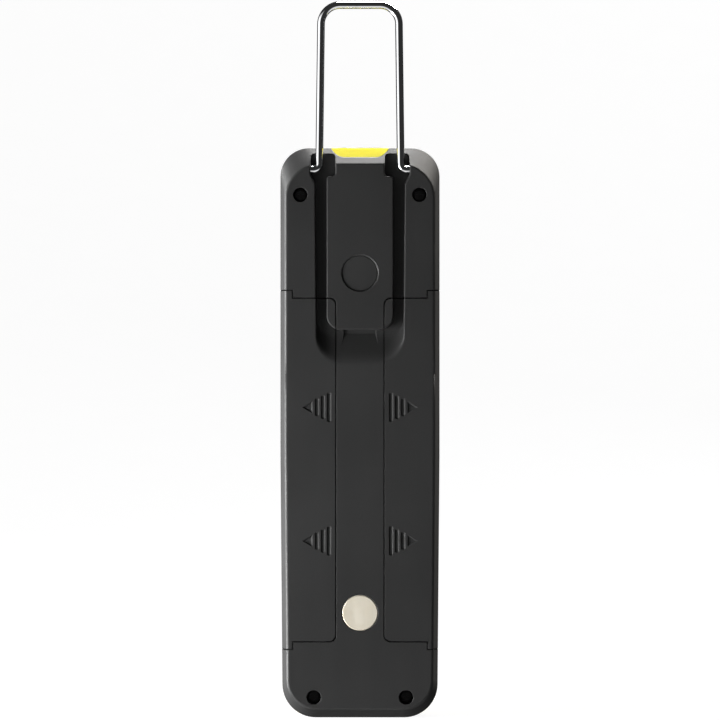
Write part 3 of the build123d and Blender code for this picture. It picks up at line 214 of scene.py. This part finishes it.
def clear_lens(name, ripple):
    """Clear polycarbonate with a faint mould ripple and light wiping scratches."""
    s = Shader(name)
    wipes = s.noise(500.0, 2.0, 0.5, (1.0, 1.0, 0.04))
    flow = s.noise(22.0, 1.0)
    normal = s.bump(flow, ripple, 0.4)
    return s.surface(Base_Color=(0.97, 0.98, 0.98, 1.0), Transmission_Weight=1.0, IOR=1.58,
                     Roughness=s.remap(wipes, 0.55, 0.8, 0.015, 0.09), Normal=normal)


def silvered(name):
    """Vacuum-silvered reflector, bright with slight orange peel."""
    s = Shader(name)
    peel = s.noise(420.0, 2.0)
    bloom = s.noise(60.0, 3.0)
    return s.surface(Base_Color=rgb(228, 229, 231), Metallic=1.0,
                     Roughness=s.remap(bloom, 0.3, 0.7, 0.08, 0.18), Normal=s.bump(peel, 0.02 * MM, 0.5))


def circuit_board(name):
    """White solder mask with faint raised tracks underneath."""
    s = Shader(name)
    weave = s.noise(2000.0, 2.0)
    brick = {"Vector": s.place((1, 1, 1)), "Scale": 160.0, "Mortar Size": 0.04}
    tracks = s.node("ShaderNodeTexBrick", brick)
    colour = s.mix(s.remap(weave, 0.3, 0.7, 0.0, 0.3), rgb(226, 228, 222), rgb(205, 208, 200))
    return s.surface(Base_Color=colour, Roughness=s.remap(weave, 0.3, 0.7, 0.28, 0.42),
                     Normal=s.bump(tracks.outputs["Fac"], 0.03 * MM, 0.4))


def led_resin(name, middle, pitch):
    """Clear resin over a square of yellow phosphor, repeated at the LED pitch."""
    s = Shader(name)
    where = s.node("ShaderNodeSeparateXYZ", {0: s.node("ShaderNodeTexCoord").outputs["Object"]})
    offsets = []
    for axis, start, step in zip(pitch["axes"], middle, pitch["steps"]):
        shifted = s.math("SUBTRACT", where.outputs[axis], start - step / 2)
        wrapped = s.math("FLOORED_MODULO", shifted, step)
        offsets.append(s.math("ABSOLUTE", s.math("SUBTRACT", wrapped, step / 2)))
    reach = s.math("MAXIMUM", offsets[0], offsets[1])
    chip = s.remap(reach, 0.9 * MM, 1.2 * MM, 1.0, 0.0)
    colour = s.mix(chip, rgb(240, 240, 232), rgb(246, 214, 60))
    return s.surface(Base_Color=colour, Roughness=0.12, IOR=1.5, Coat_Weight=0.6,
                     Transmission_Weight=s.remap(chip, 0.0, 1.0, 0.55, 0.0),
                     Subsurface_Weight=0.2, Subsurface_Scale=1.0 * MM)


def cell_jacket(name, nub_up):
    """Printed foil jacket: plain blue body, pale band at the positive end, bare steel ends."""
    low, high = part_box(name)
    s = Shader("jacket_" + name)
    height = s.node("ShaderNodeSeparateXYZ", {0: s.node("ShaderNodeTexCoord").outputs["Object"]}).outputs[2]
    tall = high.z - low.z
    from_plus = s.remap(height, low.z, high.z, tall if nub_up else 0.0, 0.0 if nub_up else tall)
    band = s.remap(from_plus, 9.0 * MM, 9.1 * MM, 1.0, 0.0)
    ends = s.math("MAXIMUM", s.remap(from_plus, 1.7 * MM, 1.8 * MM, 1.0, 0.0),
                  s.remap(from_plus, tall - 0.5 * MM, tall - 0.4 * MM, 0.0, 1.0))
    scuffs = s.noise(900.0, 3.0, 0.6, (1.0, 1.0, 0.1))
    colour = s.mix(band, rgb(44, 74, 128), rgb(196, 202, 210))
    colour = s.mix(ends, colour, rgb(200, 200, 202))
    return s.surface(Base_Color=colour, Metallic=s.remap(ends, 0.0, 1.0, 0.35, 1.0),
                     Roughness=s.remap(scuffs, 0.3, 0.7, 0.22, 0.4), Normal=s.bump(scuffs, 0.01 * MM, 0.4))


def insulation(name, colour):
    """Soft wire insulation with a slight waxy sheen."""
    s = Shader(name)
    skin = s.noise(1500.0, 2.0)
    tint = s.mix(s.remap(skin, 0.3, 0.7, 0.0, 0.2), colour, rgb(120, 110, 105))
    return s.surface(Base_Color=tint, Roughness=s.remap(skin, 0.3, 0.7, 0.35, 0.5),
                     Normal=s.bump(skin, 0.01 * MM, 0.5))


def film(name):
    """Amber polyimide film with copper lines showing through."""
    s = Shader(name)
    wave = {"Vector": s.place(), "Scale": 160.0}
    lines = s.node("ShaderNodeTexWave", wave, bands_direction="X").outputs["Fac"]
    colour = s.mix(s.remap(lines, 0.45, 0.55, 0.0, 1.0), rgb(168, 104, 30), rgb(205, 140, 60))
    return s.surface(Base_Color=colour, Roughness=0.3, Normal=s.bump(lines, 0.02 * MM, 0.4))


def dress(names, material):
    """Gives the CAD nodes a material."""
    for name in names:
        for slot in NODES[name].material_slots:
            slot.material = material


BLACK_PARTS = ["rear_shell", "left_battery_door", "right_battery_door"]
BLACK = rgb(36, 36, 36)
WORN_BLACK = rgb(56, 56, 56)
# painted shade colour, laid into the recesses of the black plastic
RECESS_SHADE_BLACK = rgb(28, 28, 28)
YELLOW = rgb(216, 207, 64)
WORN_YELLOW = rgb(232, 226, 110)
# painted shade colour, laid into the recesses of the yellow plastic
RECESS_SHADE_YELLOW = rgb(206, 195, 52)

# the fourth colour of each moulded plastic is its painted shade colour for recesses
black = moulded_plastic("black_plastic", BLACK, WORN_BLACK, RECESS_SHADE_BLACK, 0.50, 0.005 * MM, 0.35)
yellow = moulded_plastic("yellow_plastic", YELLOW, WORN_YELLOW, RECESS_SHADE_YELLOW, 0.42, 0.004 * MM, 0.08,
                         edge_wear=0.4, haze=0.04, glow_depth=2.5 * MM)
switch = moulded_plastic("switch_plastic", rgb(60, 60, 62), rgb(120, 120, 120), rgb(40, 40, 42),
                         0.4, 0.004 * MM, 0.5)
cap = moulded_plastic("cap_plastic", BLACK, WORN_BLACK, RECESS_SHADE_BLACK, 0.46, 0.012 * MM, 0.42, haze=0.14)
magnet = nickel("magnet_nickel", rgb(242, 233, 212), rgb(248, 241, 224), 0.48, 0.66)
screw = steel("dark_steel", rgb(70, 70, 73), rgb(95, 95, 97), 0.38, 0.4)
dress(BLACK_PARTS, black)
dress(["upper_magnet_cap"], cap)
dress(["front_bezel", "torch_head"], yellow)
dress(["switch_housings", "flood_plunger", "torch_plunger"], switch)
dress(["hanging_hook"], chrome_wire())
dress(["lower_magnet", "upper_magnet"], magnet)
dress(["bridge_contact", "positive_contact", "negative_contact"],
      nickel("contact_nickel", rgb(205, 203, 198), rgb(220, 218, 212), 0.24, 1.0))
dress(["left_spring", "right_spring"], steel("spring_steel", rgb(205, 205, 208), rgb(170, 170, 174), 0.22))
dress(["case_screws", "lamp_board_screws", "control_board_screws"], screw)
dress(["lens_gasket", "flood_button", "torch_button"], rubber("soft_rubber", rgb(34, 34, 35)))
dress(["flood_lens"], clear_lens("flood_lens_clear", 0.05 * MM))
dress(["torch_lens"], clear_lens("torch_lens_clear", 0.02 * MM))
dress(["flood_reflector", "torch_reflector"], silvered("silvered_reflector"))
dress(["lamp_board", "control_board", "torch_board"], circuit_board("white_board"))
dress(["positive_wire"], insulation("red_insulation", rgb(190, 28, 24)))
dress(["negative_wire", "torch_wires"], insulation("black_insulation", rgb(30, 30, 30)))
dress(["board_ribbon"], film("ribbon_film"))
for cell_name in ("left_lower_cell", "left_upper_cell"):
    dress([cell_name], cell_jacket(cell_name, True))
for cell_name in ("right_lower_cell", "right_upper_cell"):
    dress([cell_name], cell_jacket(cell_name, False))


LED_R = 2.4 * MM
LONE_LED_STEP = 100 * MM  # wider than the part, so that a single row isn't repeated


def led_grid(name, axes, counts):
    """Middle of the first LED and the spacing, from the node's box."""
    low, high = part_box(name)
    middle, steps = [], []
    for axis, count in zip(axes, counts):
        first, last = low[axis] + LED_R, high[axis] - LED_R
        middle.append(first)
        steps.append((last - first) / (count - 1) if count > 1 else LONE_LED_STEP)
    return middle, {"axes": axes, "steps": steps}


dress(["flood_leds"], led_resin("flood_led_resin", *led_grid("flood_leds", (0, 2), (3, 8))))
dress(["torch_leds"], led_resin("torch_led_resin", *led_grid("torch_leds", (0, 1), (3, 1))))

# ---------------------------------------------------------------- stage
BODY_LOW, BODY_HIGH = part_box("rear_shell")
OVERALL_LOW, OVERALL_HIGH = CAD_BOUNDS
BACK_Y = BODY_LOW.y
MIDDLE = Vector((0, 0, (BODY_LOW.z + BODY_HIGH.z) / 2))
LOW_MIDDLE = Vector((0, 0, BODY_LOW.z + 60 * MM))


def make_bowl():
    """A round floor that curves up into a wall, so that every view has the same pale ground."""
    floor_r, wall_r, wall_top = 1.6, 3.2, 3.0
    steps, around = 24, 96
    profile = [(0.0, 0.0), (0.4, 0.0), (floor_r, 0.0)]
    bend = wall_r - floor_r
    for i in range(1, steps + 1):
        angle = i / steps * math.pi / 2
        profile.append((floor_r + bend * math.sin(angle), bend * (1 - math.cos(angle))))
    profile.append((wall_r, wall_top))
    points, faces = [], []
    for radius, height in profile:
        for k in range(around):
            turn = 2 * math.pi * k / around
            points.append((radius * math.cos(turn), radius * math.sin(turn), height))
    for i in range(len(profile) - 1):
        for k in range(around):
            after = (k + 1) % around
            low, high = i * around, (i + 1) * around
            faces.append((low + k, low + after, high + after, high + k))
    mesh = bpy.data.meshes.new("studio_bowl")
    mesh.from_pydata(points, [], faces)
    mesh.polygons.foreach_set("use_smooth", [True] * len(faces))
    bowl = bpy.data.objects.new("studio_bowl", mesh)
    bpy.context.scene.collection.objects.link(bowl)
    s = Shader("pale_stage")
    paper = s.noise(40.0, 4.0)
    pale = s.mix(s.remap(paper, 0.3, 0.7, 0.0, 1.0), (0.30, 0.30, 0.30, 1.0), (0.33, 0.33, 0.33, 1.0))
    diffuse = s.node("ShaderNodeBsdfDiffuse", {"Color": pale})
    glow = s.node("ShaderNodeEmission", {"Color": (1.0, 1.0, 1.0, 1.0), "Strength": 0.93})
    both = s.node("ShaderNodeAddShader", {0: diffuse.outputs[0], 1: glow.outputs[0]})
    s.tree.links.new(both.outputs[0], s.output.inputs["Surface"])
    mesh.materials.append(s.material)
    bowl.visible_diffuse = False
    bowl.visible_glossy = False
    bowl.visible_transmission = False
    bowl.visible_shadow = False


def softbox(name, where, aim, size, power, colour=(1.0, 1.0, 1.0), mirrored=True):
    """A soft light facing a point, unseen by the camera; only mirrored ones show as reflections."""
    data = bpy.data.lights.new(name, "AREA")
    data.shape = "RECTANGLE"
    data.size, data.size_y = size
    data.energy = power
    data.color = colour
    lamp = bpy.data.objects.new(name, data)
    lamp.location = where
    lamp.rotation_mode = "QUATERNION"
    lamp.rotation_quaternion = (Vector(aim) - Vector(where)).to_track_quat("-Z", "Y")
    lamp.visible_camera = False
    lamp.visible_glossy = mirrored
    bpy.context.scene.collection.objects.link(lamp)
    return lamp


def lit_only(lamp, names):
    """Keeps a light off everything but these nodes."""
    receivers = bpy.data.collections.new(lamp.name + "_receivers")
    for name in names:
        receivers.objects.link(NODES[name])
    lamp.light_linking.receiver_collection = receivers


def surrounding_light():
    """Studio surroundings: white to the left and below, dark to the right, above and beyond the lamp."""
    world = bpy.data.worlds.new("studio")
    bpy.context.scene.world = world
    world.use_nodes = True
    tree = world.node_tree
    tree.nodes.clear()

    def math_node(operation, a, b):
        made = tree.nodes.new("ShaderNodeMath")
        made.operation = operation
        for socket, value in zip(made.inputs, (a, b)):
            if isinstance(value, bpy.types.NodeSocket):
                tree.links.new(value, socket)
            else:
                socket.default_value = value
        return made.outputs[0]

    def ramp(value, low, high, to_low, to_high):
        made = tree.nodes.new("ShaderNodeMapRange")
        made.interpolation_type = "SMOOTHSTEP"
        tree.links.new(value, made.inputs["Value"])
        for key, number in (("From Min", low), ("From Max", high), ("To Min", to_low), ("To Max", to_high)):
            made.inputs[key].default_value = number
        return made.outputs[0]

    where = tree.nodes.new("ShaderNodeTexCoord")
    split = tree.nodes.new("ShaderNodeSeparateXYZ")
    tree.links.new(where.outputs["Generated"], split.inputs[0])
    left = ramp(split.outputs[0], -0.60, -0.42, 1.0, 0.0)
    below = ramp(split.outputs[2], -0.75, -0.45, 1.0, 0.0)
    overhead = ramp(split.outputs[2], 0.25, 0.6, 0.0, 1.0)
    wall = math_node("MULTIPLY", left, math_node("SUBTRACT", 1.0, overhead))
    wall = math_node("MULTIPLY", wall, LEFT_RADIANCE)
    lit = math_node("MAXIMUM", wall, math_node("MULTIPLY", below, FLOOR_RADIANCE))
    lit = math_node("MULTIPLY", lit, ramp(split.outputs[1], 0.05, 0.25, 1.0, 0.0))
    strength = math_node("MAXIMUM", lit, SHADE_RADIANCE)
    background = tree.nodes.new("ShaderNodeBackground")
    tree.links.new(strength, background.inputs["Strength"])
    background.inputs["Color"].default_value = (1.0, 1.0, 1.0, 1.0)
    output = tree.nodes.new("ShaderNodeOutputWorld")
    tree.links.new(background.outputs[0], output.inputs["Surface"])


make_bowl()
surrounding_light()
# name, position, aim, size (m), power (W)
softbox("key_left", (-0.28, -0.13, 0.04), LOW_MIDDLE, (0.08, 0.18), 1.4)
softbox("near_fill", (-0.24, -0.20, 0.03), LOW_MIDDLE, (0.08, 0.16), 0.56, mirrored=False)
softbox("front_fill", (0.0, -1.3, 0.12), MIDDLE, (0.3, 0.3), 1.3, mirrored=False)
edge_left = softbox("edge_left", (-1.2, 0.105, 0.15), MIDDLE, (0.35, 0.9), 44.0)
lit_only(edge_left, BLACK_PARTS + ["upper_magnet_cap", "front_bezel"])
# one light over the top end, at full power on the dark parts and the chrome and weaker on all others
TOP_PLACE, TOP_SIZE = (0.20, 0.50, 1.25), (0.7, 0.4)
FULLY_TOP_LIT = BLACK_PARTS + ["hanging_hook"]
top_behind = softbox("top_behind", TOP_PLACE, MIDDLE, TOP_SIZE, 60.0)
lit_only(top_behind, FULLY_TOP_LIT)
top_soft = softbox("top_soft", TOP_PLACE, MIDDLE, TOP_SIZE, 14.0)
lit_only(top_soft, [name for name in NODES if name not in FULLY_TOP_LIT])
# a warm light over the top right; the doors get its soft part only, without reflections in their creases
WARM_PLACE, WARM_SIZE, WARM = (0.50, 0.30, 0.95), (0.3, 0.3), (1.0, 0.95, 0.88)
DOORS = ["left_battery_door", "right_battery_door"]
warm_top_right = softbox("warm_top_right", WARM_PLACE, MIDDLE, WARM_SIZE, 24.0, WARM)
lit_only(warm_top_right, [name for name in NODES if name not in DOORS])
warm_on_doors = softbox("warm_on_doors", WARM_PLACE, MIDDLE, WARM_SIZE, 46.0, WARM, mirrored=False)
lit_only(warm_on_doors, DOORS)
softbox("back_left", (-1.2, 0.85, 0.3), MIDDLE, (0.6, 1.4), 8.0, mirrored=False)
softbox("front_of_lamp", (0.7, 1.5, 0.9), MIDDLE, (0.9, 0.9), 6.0, mirrored=False)


# ---------------------------------------------------------------- camera
CAMERA_DISTANCE = 2.0
SENSOR_MM = 36.0
FRAME_MARGIN = 1.0034  # the frame's height over the part's
FRAME_DROP = 0.17 * MM  # the frame's middle sits this far below the part's


def make_camera():
    """Straight on to the back, from far off, with the hook's top and the foot just inside the frame."""
    tall = (OVERALL_HIGH.z - OVERALL_LOW.z) * FRAME_MARGIN
    middle_z = (OVERALL_HIGH.z + OVERALL_LOW.z) / 2 - FRAME_DROP
    data = bpy.data.cameras.new("camera")
    data.sensor_width = SENSOR_MM
    data.lens = SENSOR_MM * CAMERA_DISTANCE / tall
    data.clip_start, data.clip_end = 0.01, 20.0
    camera = bpy.data.objects.new("camera", data)
    camera.location = (0.0, BACK_Y - CAMERA_DISTANCE, middle_z)
    camera.rotation_euler = (math.pi / 2, 0.0, 0.0)
    bpy.context.scene.collection.objects.link(camera)
    bpy.context.scene.camera = camera


make_camera()
bpy.context.scene.view_settings.view_transform = "Standard"
bpy.context.scene.view_settings.look = "None"
